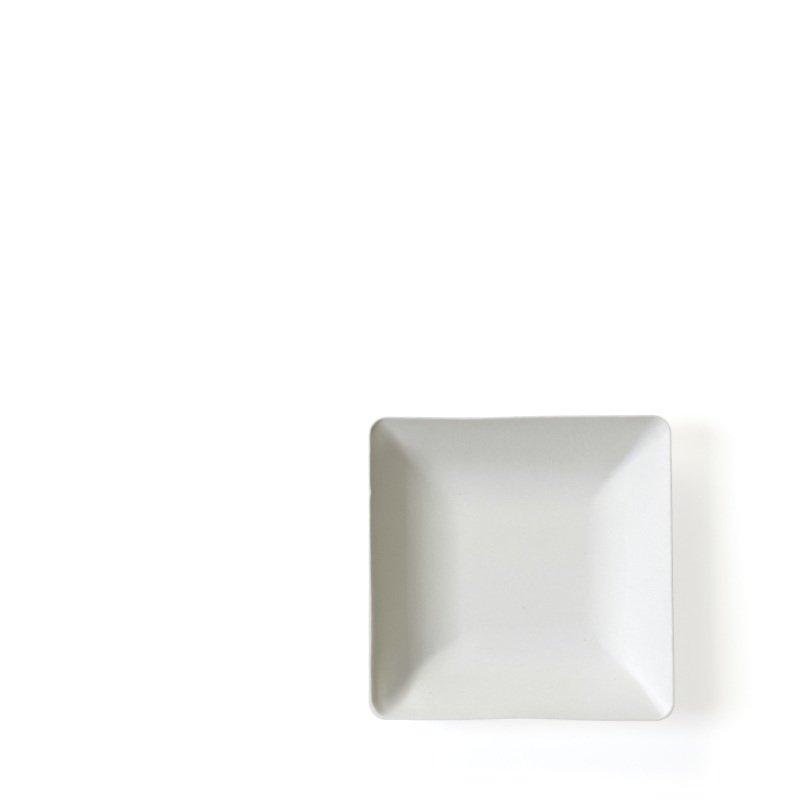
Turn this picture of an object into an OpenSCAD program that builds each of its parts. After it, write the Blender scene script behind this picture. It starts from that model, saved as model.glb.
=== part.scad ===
// Square canape plate, moulded in one piece from sugar cane pulp.
// The origin is the middle of the flat face that it rests on, with the open side up.
// Seen in section, the flat base runs through a hollow curve into straight sloping walls.
// The rim has no flange: the wall is trimmed off upright, and its narrow top rolls into the food side.

/* [Plate] */
// Side of the square, measured over the rim
rim_side = 65; // [55:1:120]
// Height from the resting face to the top of the rim
plate_height = 15; // [12:0.5:22]
// Thickness of the moulded pulp, square to its surface
wall = 0.7; // [0.5:0.05:1.2]

/* [Base] */
// Side of the flat square in the middle
base_side = 28; // [20:1:34]
// Radius of the hollow curve between the base and the walls, on the food side
blend_radius = 12.5; // [6:0.5:16]

/* [Corners] */
// Plan radius of the four outer corners of the rim
rim_corner_radius = 4; // [2:0.5:8]
// Plan radius at the foot of the creases where two walls meet, on the food side
crease_radius = 0.6; // [0.4:0.1:2]
// Depth below the rim over which a crease opens out to the corner of the rim
crease_fade = 14; // [6:0.5:14]
// How soon a crease opens, from 1 for evenly to 2 for mostly near its foot
crease_spread = 1.4; // [1:0.1:2]

/* [Rim] */
// Width of the top of the rim, from the upright cut to the line of the food side
rim_land = 0.35; // [0.25:0.05:0.6]
// Radius on the outer edge of the trimmed rim
rim_round = 0.12; // [0.05:0.01:0.12]
// Radius of the soft roll from the top of the rim into the food side
lip_round = 0.4; // [0.1:0.05:0.6]

/* [Hidden] */

rim_half = rim_side / 2;
base_half = base_side / 2;
under_radius = blend_radius + wall;

// Slope of the straight walls, which run tangent from the food side's curve up to the rim
reach = rim_half - rim_land - base_half;
rise = plate_height - wall;
slope = 2 * atan(rise / (reach + sqrt(reach * reach + rise * (rise - 2 * blend_radius))));

// Height of the upright cut around the outside, which ends where the underside meets it
trim_height = wall / cos(slope) - rim_land * tan(slope);

// The roll never takes up the whole top of the rim
level_top = 0.04;
lip_radius = min(lip_round, (rim_land - rim_round - level_top) / tan(slope / 2));

// How finely the curves are stepped
blend_steps = 12;
wall_steps = 8;
round_steps = 3;
corner_steps = 10;
// How far the hollow is cut past the top of the rim
overcut = 1;

// From 0 at the foot of the creases to 1 at the rim
function crease_opening(depth) = 1 - pow(min(1, max(0, depth) / crease_fade), crease_spread);

// Plan radius of a corner whose radius grows from low to high towards the rim
function corner_radius(low, high, depth) = low + (high - low) * crease_opening(depth);

// A course is [half of its side, its height, the radius of its corners]
function under_course(half, z, angle) = [
    half,
    z,
    corner_radius(crease_radius + wall * sin(angle), rim_corner_radius, plate_height - trim_height - z)
];
function food_course(half, z) = [
    half,
    z,
    corner_radius(crease_radius, rim_corner_radius - rim_land, plate_height - z)
];

// Places along the curve at each angle, and then along the straight wall up to the end [half, z]
function under_curve(angle) = [
    base_half + under_radius * sin(angle),
    under_radius * (1 - cos(angle))
];
function food_curve(angle) = [
    base_half + blend_radius * sin(angle),
    wall + blend_radius * (1 - cos(angle))
];
function between(from, to, share) = from + (to - from) * share;

// Courses of the outside, from the resting face up to the top of the rim
under_wall_end = [rim_half, plate_height - trim_height];
under_courses = concat(
    [for (i = [0:blend_steps])
        let (angle = slope * i / blend_steps, p = under_curve(angle))
        under_course(p[0], p[1], angle)],
    [for (i = [1:wall_steps])
        let (p = between(under_curve(slope), under_wall_end, i / wall_steps))
        under_course(p[0], p[1], slope)],
    [for (i = [0:round_steps])
        let (angle = 90 * i / round_steps, inset = rim_round * (1 - cos(angle)))
        [rim_half - inset, plate_height - rim_round * (1 - sin(angle)), rim_corner_radius - inset]]
);

// Courses of the hollow, from the food side of the base up past the rounded inner edge of the rim
lip_half = rim_half - rim_land + lip_radius * tan(slope / 2);
food_wall_end = [lip_half - lip_radius * sin(slope), plate_height - lip_radius * (1 - cos(slope))];
food_courses = concat(
    [for (i = [0:blend_steps])
        let (p = food_curve(slope * i / blend_steps))
        food_course(p[0], p[1])],
    [for (i = [1:wall_steps])
        let (p = between(food_curve(slope), food_wall_end, i / wall_steps))
        food_course(p[0], p[1])],
    [for (i = [1:round_steps])
        let (angle = slope * (1 - i / round_steps))
        food_course(lip_half - lip_radius * sin(angle), plate_height - lip_radius * (1 - cos(angle)))],
    [food_course(lip_half, plate_height + overcut)]
);

// Points of one course: a square with round corners, counterclockwise from its right side
function course_points(course) = [
    for (corner = [0:3], i = [0:corner_steps])
        let (
            angle = 90 * (corner + i / corner_steps),
            inner = (course[0] - course[2]) * sqrt(2),
            bearing = 90 * corner + 45
        )
        [
            inner * cos(bearing) + course[2] * cos(angle),
            inner * sin(bearing) + course[2] * sin(angle),
            course[1]
        ]
];

// Solid with a flat floor and a flat top, whose sides pass through all of its courses
module stack_of(courses) {
    around = 4 * (corner_steps + 1);
    last = len(courses) - 1;
    polyhedron(
        points = [for (course = courses) each course_points(course)],
        faces = concat(
            [[for (i = [0:around - 1]) i]],
            [for (level = [0:last - 1], i = [0:around - 1])
                let (next = (i + 1) % around)
                [
                    level * around + i,
                    (level + 1) * around + i,
                    (level + 1) * around + next,
                    level * around + next
                ]],
            [[for (i = [around - 1:-1:0]) last * around + i]]
        )
    );
}

module plate() {
    color([0.87, 0.87, 0.84])
        difference() {
            stack_of(under_courses);
            stack_of(food_courses);
        }
}

plate();
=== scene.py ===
import math

import bpy
from mathutils import Matrix, Vector


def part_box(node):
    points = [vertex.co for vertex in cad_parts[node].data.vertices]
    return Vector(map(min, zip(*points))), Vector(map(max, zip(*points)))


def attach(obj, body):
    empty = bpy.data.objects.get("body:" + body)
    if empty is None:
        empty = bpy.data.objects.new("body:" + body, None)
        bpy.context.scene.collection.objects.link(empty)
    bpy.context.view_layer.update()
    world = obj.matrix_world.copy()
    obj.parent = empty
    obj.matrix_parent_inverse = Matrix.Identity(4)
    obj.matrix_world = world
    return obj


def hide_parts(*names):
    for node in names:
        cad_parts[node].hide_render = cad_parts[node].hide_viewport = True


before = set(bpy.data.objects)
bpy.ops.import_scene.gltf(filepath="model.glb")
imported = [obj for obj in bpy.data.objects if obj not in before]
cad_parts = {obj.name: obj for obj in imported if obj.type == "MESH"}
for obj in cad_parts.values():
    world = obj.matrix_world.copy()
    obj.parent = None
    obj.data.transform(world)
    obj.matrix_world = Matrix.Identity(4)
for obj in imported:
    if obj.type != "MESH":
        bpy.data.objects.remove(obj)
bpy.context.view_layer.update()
plateLow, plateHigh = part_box("plate")
mm = 0.001
hair = 0.001 * mm  # less than any size that matters
tiny = 1e-7  # stands in for 0 where something is divided by it
print("stage 1: frame loaded, plate is", [round(v / mm, 2) for v in plateHigh - plateLow], "mm")


# Small helpers for building node trees.
# A Wire wraps a socket so that sums of sockets can be written as plain formulas.
class Wire:
    def __init__(self, tree, socket):
        self.tree = tree
        self.socket = socket

    def __add__(self, other):
        return mathNode(self.tree, "ADD", self, other)

    def __radd__(self, other):
        return mathNode(self.tree, "ADD", other, self)

    def __sub__(self, other):
        return mathNode(self.tree, "SUBTRACT", self, other)

    def __rsub__(self, other):
        return mathNode(self.tree, "SUBTRACT", other, self)

    def __mul__(self, other):
        return mathNode(self.tree, "MULTIPLY", self, other)

    def __rmul__(self, other):
        return mathNode(self.tree, "MULTIPLY", other, self)

    def __truediv__(self, other):
        return mathNode(self.tree, "DIVIDE", self, other)


def plugIn(tree, socket, value):
    if isinstance(value, Wire):
        tree.links.new(value.socket, socket)
    else:
        socket.default_value = value


def addNode(tree, kind, inputs=None, **settings):
    node = tree.nodes.new(kind)
    for name, value in settings.items():
        setattr(node, name, value)
    for name, value in (inputs or {}).items():
        plugIn(tree, node.inputs[name], value)
    return node


def mathNode(tree, operation, *values):
    node = tree.nodes.new("ShaderNodeMath")
    node.operation = operation
    for socket, value in zip(node.inputs, values):
        plugIn(tree, socket, value)
    return Wire(tree, node.outputs[0])


def vectorNode(tree, operation, *values, output="Vector"):
    node = tree.nodes.new("ShaderNodeVectorMath")
    node.operation = operation
    for socket, value in zip(node.inputs, values):
        plugIn(tree, socket, value)
    return Wire(tree, node.outputs[output])


def scaled(tree, vector, factor):
    node = addNode(tree, "ShaderNodeVectorMath", {"Scale": factor}, operation="SCALE")
    plugIn(tree, node.inputs[0], vector)
    return Wire(tree, node.outputs["Vector"])


def joined(tree, x, y, z):
    return Wire(tree, addNode(tree, "ShaderNodeCombineXYZ", {"X": x, "Y": y, "Z": z}).outputs[0])


def partsOf(tree, vector):
    apart = addNode(tree, "ShaderNodeSeparateXYZ", {"Vector": vector})
    return [Wire(tree, apart.outputs[axis]) for axis in "XYZ"]


def sin(angle):
    return mathNode(angle.tree, "SINE", angle)


def cos(angle):
    return mathNode(angle.tree, "COSINE", angle)


def absolute(value):
    return mathNode(value.tree, "ABSOLUTE", value)


def power(value, exponent):
    return mathNode(value.tree, "POWER", value, exponent)


def lower(a, b):
    return mathNode(a.tree, "MINIMUM", a, b)


def higher(a, b):
    return mathNode(a.tree, "MAXIMUM", a, b)


def mix(share, low, high):
    return low + (high - low) * share


# 0 before the start, 1 after the end
def ramp(value, start, end, smooth=False):
    node = addNode(
        value.tree, "ShaderNodeMapRange", {"Value": value, "From Min": start, "From Max": end},
        clamp=True, interpolation_type="SMOOTHSTEP" if smooth else "LINEAR",
    )
    return Wire(value.tree, node.outputs["Result"])


# 1 within a zone, fading in over its first pair of distances and out over its second
def within(value, fadeIn, fadeOut, smoothEnd=True):
    begun = ramp(value, fadeIn[0] * mm, fadeIn[1] * mm, True)
    ended = ramp(value, fadeOut[0] * mm, fadeOut[1] * mm, smoothEnd)
    return begun * (1.0 - ended)


def noise(tree, place, scale, seed, detail=2.0, roughness=0.5):
    node = addNode(
        tree, "ShaderNodeTexNoise",
        {"Vector": place, "W": seed, "Scale": scale, "Detail": detail, "Roughness": roughness},
        noise_dimensions="4D",
    )
    return Wire(tree, node.outputs[0])


# 1 at a spot, falling off to 0 over its reach along X and Y
def nearness(tree, flatPlace, at, reach):
    away = vectorNode(tree, "SUBTRACT", flatPlace, (at[0] * mm, at[1] * mm, 0.0))
    away = vectorNode(tree, "DIVIDE", away, (reach[0] * mm, reach[1] * mm, 1.0))
    return mathNode(tree, "EXPONENT", vectorNode(tree, "DOT_PRODUCT", away, away, output="Value") * -1.0)


# The plate's shape, with all lengths in millimetres.
# One sheet of pulp: the section runs from the middle of the food side out over the trimmed rim,
# and from the middle of the underside out to the foot of the rim's upright cut, where both meet.
plateShape = {
    "wall": 0.7,
    "blendRadius": 12.5,
    "rimLand": 0.35,
    "rimRound": 0.12,
    "lipRound": 0.4,
    "rimCorner": 4.0,
    "creaseRadius": 0.6,
    "creaseFade": 14.0,
    # How soon a crease opens towards the rim. The back left and front right ones stay sharp for longer
    "creaseSpread": 0.9,
    "sharpSpread": 0.3,
    # Rings for each stretch of the section. Both sides have as many in all, so that their rims meet
    "ringsOver": {"base": 18, "curve": 40, "wall": 38, "lip": 8, "land": 2, "edge": 4},
    "ringsUnder": {"base": 18, "curve": 40, "wall": 44, "cut": 8},
    # How uneven the pulp dried: slow warp, small lumps, a wavy outline, and a rim
    # whose top is a little wider than the mould's and has a lumpy inner edge
    "warp": 0.25,
    "lumps": 0.05,
    "rimWobble": 0.1,
    "landExtra": 0.12,
    "lipLumps": 0.5,
    "fineness": {"warp": 28.0, "lumps": 330.0, "rimWobble": 130.0, "lipLumps": 420.0},
    "seed": 7.3,
    # How far two opposite corners of the rim dried lower than the other two
    "twist": 0.9,
    # Sides with a wider curve than the mould's: how much further out its top lies and how much further in
    # its foot, both from the side's low end to its high end, and where along the side that starts and stops
    "wideCurves": {
        "left": {"side": (-1, 0), "out": (1.0, 1.5), "in": (1.7, 0.3), "from": (-27, -19), "to": (23, 28)},
        "back": {"side": (0, 1), "out": (0.6, -0.2), "in": (2.0, 0.8), "from": (-27, -18), "to": (15, 24)},
        "front": {"side": (0, -1), "out": (0.0, 0.0), "in": (1.4, 1.6), "from": (-16, -10), "to": (14, 20)},
    },
    "curveEnds": (-25.0, 25.0),  # where those ends are, along the side
    # Creases that lie out of place: middle, reach and shift along X and Y
    "drifts": {
        "backLeft": ((-28.5, 28.5), (4.0, 4.0), (0.5, 0.2)),
        "frontRight": ((24.0, -24.0), (7.0, 7.0), (0.6, 0.6)),
        "frontLeft": ((-27.0, -27.2), (5.0, 5.0), (0.9, -0.8)),
    },
    # Distances from the middle over which each of these comes in and fades out
    "curveTopZone": ((14.0, 24.0), (23.4, 32.1)),
    "curveFootZone": ((6.0, 14.0), (14.5, 21.0)),
    "driftZone": ((14.0, 20.0), (29.0, 32.1)),
    # Stretches of the rim that lie further in: middle, reach and depth
    "dents": {
        "back": ((-11.0, 32.5), (12.0, 8.0), 0.3),
        "front": ((0.5, -32.5), (9.5, 8.0), 0.45),
    },
    # Places where the level top of the rim is wider: middle, reach and extra width
    "wideLands": {
        "frontLeft": ((-31.5, -31.0), (3.0, 5.0), 0.5),
        "left": ((-32.5, 16.2), (3.0, 0.8), 0.25),
        "leftLow": ((-32.5, -13.0), (3.0, 12.0), 0.2),
    },
    # Ridges under the inner edge of the rim: middle, reach, distance from the rim, width and height
    "ridges": {
        "line": ((-31.0, -7.6), (3.0, 9.0), 1.65, 0.22, 0.06),
        "softEdge": ((-31.5, -13.0), (3.0, 14.0), 0.95, 0.45, 0.2),
    },
}


def socketsOf(tree, names):
    for name in names:
        tree.interface.new_socket(name, in_out="INPUT", socket_type="NodeSocketFloat")
    given = tree.nodes.new("NodeGroupInput")
    return {name: Wire(tree, given.outputs[name]) for name in names}


# How far a ring has come through each stretch of the section, from 0 to 1
def stretchesOf(ringShare, rings):
    total = sum(rings.values())
    done, stretches = 0, {}
    for name, count in rings.items():
        stretches[name] = ramp(ringShare, done / total, (done + count) / total)
        done += count
    return stretches


# Puts the points of a square grid on the rings of a square with round corners
def ringPlace(tree, half, corner, height, across, along, ringShare):
    other = lower(absolute(across), absolute(along)) / higher(ringShare, tiny)
    straight = half - corner
    travel = other * (straight + corner * (math.pi / 4))
    turn = higher(travel - straight, 0.0) / higher(corner, tiny)
    sideways = lower(travel, straight) + corner * sin(turn)
    outward = straight + corner * cos(turn)
    acrossLeads = mathNode(tree, "GREATER_THAN", absolute(across), absolute(along))
    x = acrossLeads * outward + (1.0 - acrossLeads) * sideways
    y = acrossLeads * sideways + (1.0 - acrossLeads) * outward
    return joined(tree, x * mathNode(tree, "SIGN", across), y * mathNode(tree, "SIGN", along), height)


def remember(tree, geometry, name, value):
    node = addNode(tree, "GeometryNodeStoreNamedAttribute",
                   {"Geometry": geometry, "Name": name, "Value": value}, data_type="FLOAT", domain="POINT")
    return Wire(tree, node.outputs["Geometry"])


def recalled(tree, name):
    node = addNode(tree, "GeometryNodeInputNamedAttribute", {"Name": name}, data_type="FLOAT")
    return Wire(tree, node.outputs[0])


# One side of the sheet: a square grid laid over the rings of its section
def oneSide(tree, section, rings, isUnder):
    count = 2 * sum(rings.values()) + 1
    grid = addNode(tree, "GeometryNodeMeshGrid",
                   {"Size X": 2.0, "Size Y": 2.0, "Vertices X": count, "Vertices Y": count})
    across, along, _ = partsOf(tree, Wire(tree, addNode(tree, "GeometryNodeInputPosition").outputs[0]))
    ringShare = higher(absolute(across), absolute(along))
    isSharp = mathNode(tree, "LESS_THAN", across * along, 0.0)
    half, corner, height, run = section(ringShare, isSharp)
    goal = ringPlace(tree, half, corner, height, across, along, ringShare)
    side = remember(tree, Wire(tree, grid.outputs["Mesh"]), "ringShare", ringShare)
    side = remember(tree, side, "underside", 1.0 if isUnder else 0.0)
    side = remember(tree, side, "run", run)
    moved = addNode(tree, "GeometryNodeSetPosition", {"Geometry": side, "Position": goal})
    side = Wire(tree, moved.outputs["Geometry"])
    if isUnder:
        side = Wire(tree, addNode(tree, "GeometryNodeFlipFaces", {"Mesh": side}).outputs["Mesh"])
    return side


# Unevenness of pressed pulp. At the rim it only pushes inwards and down, so the plate stays inside its size
def unevenness(tree, size):
    spot = Wire(tree, addNode(tree, "GeometryNodeInputPosition").outputs[0])
    x, y, z = partsOf(tree, spot)
    flatSpot = joined(tree, x, y, 0.0)
    outward = vectorNode(tree, "NORMALIZE", flatSpot)
    normal = Wire(tree, addNode(tree, "GeometryNodeInputNormal").outputs[0])
    heightShare = z / size["Height"]
    fromMiddle = higher(absolute(x), absolute(y))
    seed, fineness = size["Seed"], plateShape["fineness"]
    overRest = ramp(z, 0.2 * mm, 1.2 * mm, True)  # spares the face that the plate rests on
    warp = noise(tree, flatSpot, fineness["warp"], seed, 1.0) * heightShare * heightShare * size["Warp"]
    corners = x * y / (size["Rim Half"] * size["Rim Half"])  # 1 or -1 at the corners of the rim
    warp = warp + (1.0 + corners) * 0.5 * heightShare * size["Twist"]
    lumps = noise(tree, spot, fineness["lumps"], seed + 1.0, 3.0) * overRest * size["Lumps"]

    # The outline of the rim
    nearRim = ramp(heightShare, 0.75, 1.0, True)
    rimIn = noise(tree, flatSpot, fineness["rimWobble"], seed + 2.0, 2.0) * size["Rim Wobble"]
    for at, reach, depth in plateShape["dents"].values():
        rimIn = rimIn + nearness(tree, flatSpot, at, reach) * (depth * mm)

    # The inner edge of the rim, and ridges under it, on the food side alone
    rings = plateShape["ringsOver"]
    landFrom = 1.0 - (rings["land"] + rings["edge"]) / sum(rings.values())
    landTo = 1.0 - rings["edge"] / sum(rings.values())
    onFoodSide = 1.0 - recalled(tree, "underside")
    innerEdge = (1.0 - ramp(recalled(tree, "ringShare"), landFrom, landTo)) * onFoodSide
    innerEdge = innerEdge * ramp(z, size["Height"] - 2.2 * mm, size["Height"] - 0.1 * mm, True)
    lipIn = noise(tree, spot, fineness["lipLumps"], seed + 3.0, 2.0) - 0.5
    lipIn = higher(lipIn, 0.0) * size["Lip Lumps"]
    for at, reach, width in plateShape["wideLands"].values():
        lipIn = lipIn + nearness(tree, flatSpot, at, reach) * (width * mm)
    lipIn = lipIn + size["Land Extra"]
    for at, reach, inset, width, height in plateShape["ridges"].values():
        offLine = (fromMiddle - (size["Rim Half"] - inset * mm)) / (width * mm)
        line = mathNode(tree, "EXPONENT", offLine * offLine * -1.0) * nearness(tree, flatSpot, at, reach)
        lumps = lumps - line * onFoodSide * (height * mm)

    inwards = rimIn * nearRim + lipIn * innerEdge
    shift = scaled(tree, normal, lumps * -1.0)
    shift = vectorNode(tree, "ADD", shift, scaled(tree, outward, inwards * -1.0))
    shift = vectorNode(tree, "ADD", shift, joined(tree, 0.0, 0.0, warp * -1.0))

    # Drifts of the creases and wide curves of the walls, which leave the rim where it is
    onWall = within(fromMiddle, *plateShape["driftZone"])
    for at, reach, move in plateShape["drifts"].values():
        weight = nearness(tree, flatSpot, at, reach) * onWall
        shift = vectorNode(tree, "ADD", shift, scaled(tree, (move[0] * mm, move[1] * mm, 0.0), weight))
    for wide in plateShape["wideCurves"].values():
        toX, toY = wide["side"]
        out, along = x * toX + y * toY, x * abs(toY) + y * abs(toX)
        share = ramp(along, *[end * mm for end in plateShape["curveEnds"]])
        outBy, inBy = [mix(share, wide[name][0] * mm, wide[name][1] * mm) for name in ("out", "in")]
        atTop = within(out, *plateShape["curveTopZone"], smoothEnd=False)
        atFoot = within(out, *plateShape["curveFootZone"])
        weight = within(along, wide["from"], wide["to"])
        move = (atTop * outBy - atFoot * inBy) * weight
        shift = vectorNode(tree, "ADD", shift, joined(tree, move * toX, move * toY, 0.0))
    return shift


def buildPlateTree():
    tree = bpy.data.node_groups.new("pulpPlateShape", "GeometryNodeTree")
    size = socketsOf(tree, (
        "Rim Half", "Height", "Base Half", "Wall", "Blend Radius", "Rim Land", "Rim Round", "Lip Round",
        "Rim Corner", "Crease Radius", "Crease Fade", "Crease Spread", "Sharp Spread", "Warp", "Twist",
        "Lumps", "Rim Wobble", "Land Extra", "Lip Lumps", "Seed",
    ))
    tree.interface.new_socket("Material", in_out="INPUT", socket_type="NodeSocketMaterial")
    tree.interface.new_socket("Plate", in_out="OUTPUT", socket_type="NodeSocketGeometry")
    given = next(n for n in tree.nodes if n.bl_idname == "NodeGroupInput")

    blend, under = size["Blend Radius"], size["Blend Radius"] + size["Wall"]
    reach = size["Rim Half"] - size["Rim Land"] - size["Base Half"]
    rise = size["Height"] - size["Wall"]
    root = mathNode(tree, "SQRT", reach * reach + rise * (rise - 2.0 * blend))
    slope = 2.0 * mathNode(tree, "ARCTANGENT", rise / (reach + root))
    tilt, level = sin(slope), cos(slope)
    trimHeight = size["Wall"] / level - size["Rim Land"] * tilt / level
    roundness, lipRound = size["Rim Round"], size["Lip Round"]
    lipHalf = size["Rim Half"] - size["Rim Land"] + lipRound * mathNode(tree, "TANGENT", slope * 0.5)

    def openingOf(depth, isSharp):  # the crease opens out towards the rim
        spread = mix(isSharp, size["Crease Spread"], size["Sharp Spread"])
        return 1.0 - power(ramp(depth, hair, size["Crease Fade"]), spread)

    def overSection(ringShare, isSharp):
        part = stretchesOf(ringShare, plateShape["ringsOver"])
        curve, lip, edge = slope * part["curve"], slope * part["lip"], part["edge"] * (math.pi / 2)
        wallTop = size["Height"] - lipRound * (1.0 - level)
        curveTop = size["Wall"] + blend * (1.0 - level)
        wallRun = (wallTop - curveTop) / tilt * part["wall"]
        bodyHeight = size["Wall"] + blend * (1.0 - cos(curve)) + wallRun * tilt
        lipOut = lipRound * (tilt - sin(slope - lip)) + roundness * sin(edge)
        lipOut = lipOut + (size["Rim Half"] - roundness - lipHalf) * part["land"]
        lipUp = lipRound * (cos(slope - lip) - level) - roundness * (1.0 - cos(edge))
        bodyHalf = size["Base Half"] * part["base"] + blend * sin(curve) + wallRun * level
        opened = size["Rim Corner"] - size["Rim Half"] + lipHalf - lipRound * tilt
        crease = size["Crease Radius"] * part["base"]
        opening = openingOf(wallTop - bodyHeight, isSharp) * part["base"]
        corner = crease + (opened - crease) * opening + lipOut
        return bodyHalf + lipOut, corner, bodyHeight + lipUp, bodyHalf

    def underSection(ringShare, isSharp):
        part = stretchesOf(ringShare, plateShape["ringsUnder"])
        curve = slope * part["curve"]
        cutFoot = size["Height"] - trimHeight
        wallRun = (cutFoot - under * (1.0 - level)) / tilt * part["wall"]
        height = under * (1.0 - cos(curve)) + wallRun * tilt
        half = size["Base Half"] * part["base"] + under * sin(curve) + wallRun * level
        crease = size["Crease Radius"] * part["base"] + size["Wall"] * sin(curve)
        opening = openingOf(cutFoot - height, isSharp) * part["base"]
        corner = crease + (size["Rim Corner"] - crease) * opening
        run = size["Base Half"] * part["base"] + under * curve + wallRun
        return half, corner, height + (trimHeight - roundness) * part["cut"], run

    both = addNode(tree, "GeometryNodeJoinGeometry")
    tree.links.new(oneSide(tree, underSection, plateShape["ringsUnder"], True).socket, both.inputs[0])
    tree.links.new(oneSide(tree, overSection, plateShape["ringsOver"], False).socket, both.inputs[0])
    welded = addNode(tree, "GeometryNodeMergeByDistance",
                     {"Geometry": Wire(tree, both.outputs[0]), "Distance": hair})
    uneven = addNode(tree, "GeometryNodeSetPosition",
                     {"Geometry": Wire(tree, welded.outputs["Geometry"]), "Offset": unevenness(tree, size)})
    smooth = addNode(tree, "GeometryNodeSetShadeSmooth",
                     {"Geometry": Wire(tree, uneven.outputs["Geometry"]), "Shade Smooth": True})
    realized = addNode(tree, "GeometryNodeRealizeInstances",
                       {"Geometry": Wire(tree, smooth.outputs["Geometry"])})
    finished = addNode(tree, "GeometryNodeSetMaterial",
                       {"Geometry": Wire(tree, realized.outputs["Geometry"]),
                        "Material": Wire(tree, given.outputs["Material"])})
    out = addNode(tree, "NodeGroupOutput")
    tree.links.new(finished.outputs["Geometry"], out.inputs["Plate"])
    return tree


def makePlate(material):
    solidPoints = [v.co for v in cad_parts["plate"].data.vertices]
    restPoints = [point for point in solidPoints if point.z < plateLow.z + hair]
    values = {
        "Rim Half": (plateHigh.x - plateLow.x) / 2,
        "Height": plateHigh.z - plateLow.z,
        "Base Half": max(point.x for point in restPoints),
        "Wall": plateShape["wall"] * mm,
        "Blend Radius": plateShape["blendRadius"] * mm,
        "Rim Land": plateShape["rimLand"] * mm,
        "Rim Round": plateShape["rimRound"] * mm,
        "Lip Round": plateShape["lipRound"] * mm,
        "Rim Corner": plateShape["rimCorner"] * mm,
        "Crease Radius": plateShape["creaseRadius"] * mm,
        "Crease Fade": plateShape["creaseFade"] * mm,
        "Crease Spread": plateShape["creaseSpread"],
        "Sharp Spread": plateShape["sharpSpread"],
        "Warp": plateShape["warp"] * mm,
        "Twist": plateShape["twist"] * mm,
        "Lumps": plateShape["lumps"] * mm,
        "Rim Wobble": plateShape["rimWobble"] * mm,
        "Land Extra": plateShape["landExtra"] * mm,
        "Lip Lumps": plateShape["lipLumps"] * mm,
        "Seed": plateShape["seed"],
        "Material": material,
    }
    tree = buildPlateTree()
    carrier = bpy.data.objects.new("plateCarrier", bpy.data.meshes.new("plateCarrier"))
    bpy.context.scene.collection.objects.link(carrier)
    modifier = carrier.modifiers.new("shape", "NODES")
    modifier.node_group = tree
    for item in tree.interface.items_tree:
        if item.in_out == "INPUT":
            modifier[item.identifier] = values[item.name]
    evaluated = carrier.evaluated_get(bpy.context.evaluated_depsgraph_get())
    mesh = bpy.data.meshes.new_from_object(evaluated)
    mesh.name = "pulpPlate"
    bpy.data.objects.remove(carrier)
    piece = bpy.data.objects.new("pulpPlate", mesh)
    bpy.context.scene.collection.objects.link(piece)
    return piece


# The finish: matte pressed fibre, with heights in millimetres
pulpFinish = {
    "colour": (0.765, 0.755, 0.73),
    "roughness": 0.88,
    "roughMottle": 0.1,
    "smoothFibres": 0.06,
    "specular": 0.3,
    "clouds": 0.012,
    "mottle": 0.014,
    "fibres": 0.025,
    "fineness": {"clouds": 240.0, "mottle": 1600.0, "grain": 2600.0, "pits": 900.0},
    "fibreSizes": ((620.0, 0.022), (900.0, 0.03), (1300.0, 0.04)),  # fineness and width
    "fleckSizes": ((150.0, 0.024), (410.0, 0.03)),  # fineness and size
    "fleckColour": (0.47, 0.43, 0.35),
    "fleckShare": 0.17,
    "smallFlecks": 0.5,  # how many and how strong the small ones are beside the large ones
    "cutLighter": 0.05,
    "grainHeight": 0.035,
    "pitHeight": 0.06,
    "fibreHeight": 0.006,
    "screenHeight": 0.008,
    "screenPitch": 0.8,
    "seed": 3.1,
}


# Thin bent lines, broken into short fibres
def fibreMask(tree, place, scale, width, seed):
    line = absolute(noise(tree, place, scale, seed, 1.0) - 0.5)
    line = 1.0 - ramp(line, width * 0.4, width, True)
    return line * ramp(noise(tree, place, scale * 1.4, seed + 5.0, 1.0), 0.5, 0.58)


# Small dark specks, one at most in each cell of a coarse pattern
def fleckMask(tree, place, scale, size, share, seed):
    x, y, _ = partsOf(tree, place)
    cells = addNode(tree, "ShaderNodeTexVoronoi",
                    {"Vector": joined(tree, x, y, seed), "Scale": scale}, voronoi_dimensions="2D")
    distance = Wire(tree, cells.outputs["Distance"]) + (noise(tree, place, 6000.0, seed, 1.0) - 0.5) * size
    chosen, strength, _ = partsOf(tree, Wire(tree, cells.outputs["Color"]))
    present = mathNode(tree, "LESS_THAN", chosen, share) * ramp(strength, -0.6, 1.0)
    return (1.0 - ramp(distance, size * 0.5, size, True)) * present


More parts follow.
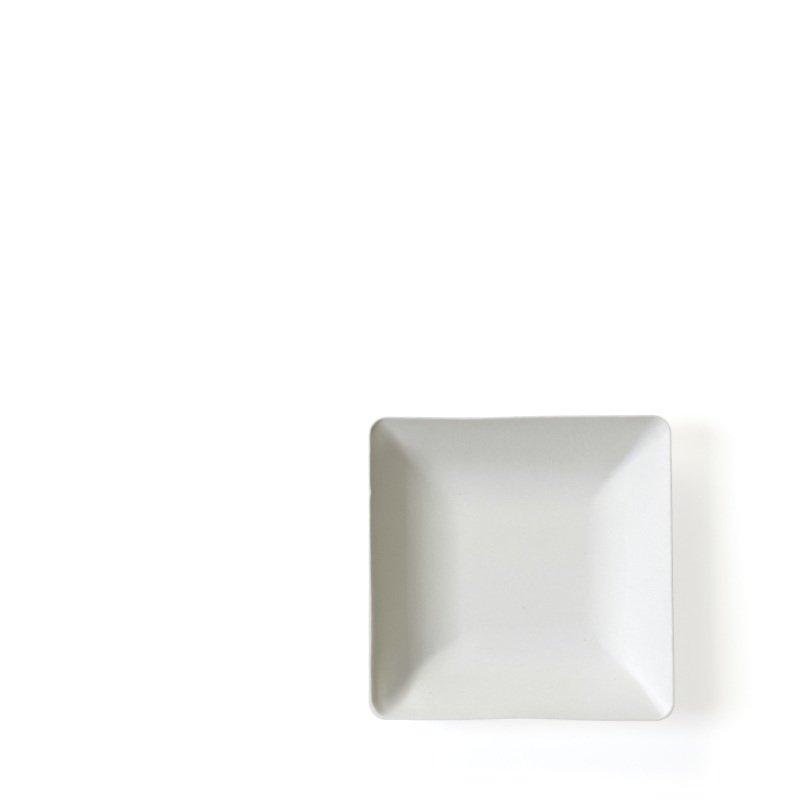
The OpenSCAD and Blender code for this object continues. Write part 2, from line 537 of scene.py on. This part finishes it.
def makePulpMaterial():
    look = pulpFinish
    material = bpy.data.materials.new("pressedPulp")
    material.use_nodes = True
    tree = material.node_tree
    shader = next(n for n in tree.nodes if n.type == "BSDF_PRINCIPLED")
    place = Wire(tree, addNode(tree, "ShaderNodeTexCoord").outputs["Object"])
    x, y, _ = partsOf(tree, place)
    seed, fineness = look["seed"], look["fineness"]

    def attribute(name):
        return Wire(tree, addNode(tree, "ShaderNodeAttribute", attribute_name=name).outputs["Fac"])

    underside, ringShare, run = attribute("underside"), attribute("ringShare"), attribute("run")
    total = sum(plateShape["ringsOver"].values())
    cutFrom = 1.0 - (plateShape["ringsOver"]["edge"] + plateShape["ringsOver"]["land"] + 2) / total
    onCut = ramp(ringShare, cutFrom, cutFrom + 2.0 / total)

    clouds = noise(tree, place, fineness["clouds"], seed, 2.0) - 0.5
    mottle = noise(tree, place, fineness["mottle"], seed + 1.0, 3.0) - 0.5
    long, middle, short = look["fibreSizes"]
    fibres = fibreMask(tree, place, *long, seed + 2.0)
    fibres = higher(fibres, fibreMask(tree, place, *middle, seed + 3.0))
    fibres = higher(fibres, fibreMask(tree, place, *short, seed + 4.0))
    grain = noise(tree, place, fineness["grain"], seed + 6.0, 3.0) - 0.5
    pits = noise(tree, place, fineness["pits"], seed + 7.0, 2.0) - 0.5

    # Imprint of the forming screen, which follows the surface of the underside
    sidePlace = mathNode(tree, "GREATER_THAN", absolute(x), absolute(y))
    waves = 2.0 * math.pi / (look["screenPitch"] * mm)
    other = (sidePlace * y + (1.0 - sidePlace) * x) * waves
    screen = cos(run * waves) * cos(other) * underside

    brightness = 1.0 + clouds * (2.0 * look["clouds"]) + mottle * (2.0 * look["mottle"])
    brightness = brightness + (fibres - 0.15) * look["fibres"] + onCut * look["cutLighter"]
    colour = scaled(tree, look["colour"], brightness)
    large, small = look["fleckSizes"]
    flecks = fleckMask(tree, place, *large, look["fleckShare"], seed)
    smallFlecks = fleckMask(tree, place, *small, look["fleckShare"] * look["smallFlecks"], seed + 8.0)
    flecks = higher(flecks, smallFlecks * look["smallFlecks"])
    withFlecks = addNode(tree, "ShaderNodeMix", data_type="VECTOR")
    for socket, value in zip((0, 4, 5), (flecks, colour, look["fleckColour"])):  # share, first, second
        plugIn(tree, withFlecks.inputs[socket], value)
    tree.links.new(withFlecks.outputs[1], shader.inputs["Base Color"])

    height = grain * (look["grainHeight"] * mm) + pits * (look["pitHeight"] * mm)
    height = height + fibres * (look["fibreHeight"] * mm) + screen * (look["screenHeight"] * mm)
    bump = addNode(tree, "ShaderNodeBump", {"Strength": 1.0, "Distance": 1.0, "Height": height})
    tree.links.new(bump.outputs["Normal"], shader.inputs["Normal"])
    roughness = look["roughness"] + mottle * look["roughMottle"] - fibres * look["smoothFibres"]
    plugIn(tree, shader.inputs["Roughness"], roughness)
    shader.inputs["Specular IOR Level"].default_value = look["specular"]
    return material


pulp = makePulpMaterial()
plate = makePlate(pulp)
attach(plate, "root")
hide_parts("plate")
print("stage 2: plate made,", len(plate.data.vertices), "points")


# Camera: nearly straight above, turned so that the plate lies at the photo's place in the frame
cameraSet = {
    "distance": 500 * mm,
    "aside": (0.84, -1.31),  # degrees away from straight above, towards +X and +Y
    "lens": 105.3,
    "sensor": 36.0,
    "clip": (0.01, 10.0),
    "plateAt": (519.2, 567.4),  # in pixels of a square frame, from its top left
    "frameSide": 800.0,
    "roll": 0.2,
}


def makeCamera():
    data = bpy.data.cameras.new("photoCamera")
    data.lens = cameraSet["lens"]
    data.sensor_width = cameraSet["sensor"]
    data.clip_start, data.clip_end = cameraSet["clip"]
    camera = bpy.data.objects.new("photoCamera", data)
    bpy.context.scene.collection.objects.link(camera)
    target = Vector((0.0, 0.0, plateHigh.z))
    aside = [math.tan(math.radians(angle)) for angle in cameraSet["aside"]]
    back = Vector((*aside, 1.0)).normalized()
    camera.location = target + back * cameraSet["distance"]
    across = Vector((0.0, 1.0, 0.0)).cross(back).normalized()
    facing = Matrix((across, back.cross(across), back)).transposed()
    focal = data.lens / data.sensor_width * cameraSet["frameSide"]
    right = (cameraSet["plateAt"][0] - cameraSet["frameSide"] / 2) / focal
    down = (cameraSet["plateAt"][1] - cameraSet["frameSide"] / 2) / focal
    # Turning the camera away moves the plate to its own place in the frame
    swing = Vector((right, -down, -1.0)).rotation_difference(Vector((0.0, 0.0, -1.0))).to_matrix()
    roll = Matrix.Rotation(math.radians(-cameraSet["roll"]), 3, "Z")
    camera.rotation_euler = (facing @ swing @ roll).to_euler()
    bpy.context.scene.camera = camera


makeCamera()


# Light: a soft lamp from the left of the photo, a weaker one from its back, and low ones around.
# Each has its direction in degrees, its width and height in metres, its power and its colour
lampSet = {
    "keyLamp": (180, 48.3, (0.3, 0.38), 5.33, (0.80, 0.86, 1.0)),
    "backLamp": (120, 42, (0.3, 0.3), 2.38, (0.99, 1.0, 0.81)),
    "lowLamp": (120, 15, (0.3, 0.3), 1.34, (0.79, 0.80, 1.0)),
    "fillLamp": (300, 28, (0.3, 0.3), 1.06, (1.0, 0.97, 0.60)),
    "sideLamp": (60, 15, (0.3, 0.3), 0.20, (1.0, 0.88, 0.45)),
}
lampDistance = 800 * mm


def makeLamp(name, azimuth, elevation, sides, power, colour):
    data = bpy.data.lights.new(name, "AREA")
    data.shape = "RECTANGLE"
    data.size, data.size_y = sides
    data.energy = power
    data.color = colour
    lamp = bpy.data.objects.new(name, data)
    bpy.context.scene.collection.objects.link(lamp)
    turn, climb = math.radians(azimuth), math.radians(elevation)
    level = math.cos(climb)
    direction = Vector((level * math.cos(turn), level * math.sin(turn), math.sin(climb)))
    lamp.location = direction * lampDistance
    lamp.rotation_euler = direction.to_track_quat("Z", "Y").to_euler()


for lampName, lampValues in lampSet.items():
    makeLamp(lampName, *lampValues)


# 1 for rays that show a surface as it is, 0 for those that only carry its light
def seenRays(tree):
    path = addNode(tree, "ShaderNodeLightPath")
    names = ("Is Camera Ray", "Is Glossy Ray", "Is Transmission Ray")
    seen, mirrored, through = [Wire(tree, path.outputs[name]) for name in names]
    return higher(higher(seen, mirrored), through)


# A very weak fill light, and a white background for the rays that see it
def makeWorld(strength, colour):
    world = bpy.data.worlds.new("studio")
    bpy.context.scene.world = world
    world.use_nodes = True
    tree = world.node_tree
    tree.nodes.clear()
    fill = addNode(tree, "ShaderNodeBackground", {"Color": (*colour, 1.0), "Strength": strength})
    white = addNode(tree, "ShaderNodeBackground", {"Color": (1.0, 1.0, 1.0, 1.0), "Strength": 1.0})
    either = addNode(tree, "ShaderNodeMixShader", {"Fac": seenRays(tree)})
    tree.links.new(fill.outputs[0], either.inputs[1])
    tree.links.new(white.outputs[0], either.inputs[2])
    out = addNode(tree, "ShaderNodeOutputWorld")
    tree.links.new(either.outputs[0], out.inputs["Surface"])


makeWorld(0.04, (1.0, 0.5, 0.2))


# A plain floor just under the plate. Where it is seen, part of it glows,
# so that it is white away from the plate's shadow
floorSet = {
    "reach": 1500 * mm,
    "height": -0.03 * mm,
    "grey": 0.8,
    "seenGrey": 0.45,
    "seenGlow": 0.68,
}


def makeFloor():
    mesh = bpy.data.meshes.new("floor")
    reach, height = floorSet["reach"], floorSet["height"]
    corners = [(-reach, -reach), (reach, -reach), (reach, reach), (-reach, reach)]
    mesh.from_pydata([(x, y, height) for x, y in corners], [], [(0, 1, 2, 3)])
    floor = bpy.data.objects.new("floor", mesh)
    bpy.context.scene.collection.objects.link(floor)
    material = bpy.data.materials.new("paleFloor")
    material.use_nodes = True
    tree = material.node_tree
    tree.nodes.clear()
    greys = [(*[floorSet[name]] * 3, 1.0) for name in ("grey", "seenGrey")]
    plain, shade = [addNode(tree, "ShaderNodeBsdfDiffuse", {"Color": grey}) for grey in greys]
    glow = addNode(tree, "ShaderNodeEmission",
                   {"Color": (1.0, 1.0, 1.0, 1.0), "Strength": floorSet["seenGlow"]})
    pale = addNode(tree, "ShaderNodeAddShader")
    tree.links.new(shade.outputs[0], pale.inputs[0])
    tree.links.new(glow.outputs[0], pale.inputs[1])
    either = addNode(tree, "ShaderNodeMixShader", {"Fac": seenRays(tree)})
    tree.links.new(plain.outputs[0], either.inputs[1])
    tree.links.new(pale.outputs[0], either.inputs[2])
    out = addNode(tree, "ShaderNodeOutputMaterial")
    tree.links.new(either.outputs[0], out.inputs["Surface"])
    mesh.materials.append(material)


makeFloor()
bpy.context.scene.view_settings.view_transform = "Standard"
print("stage 3: camera, lamps and floor made")
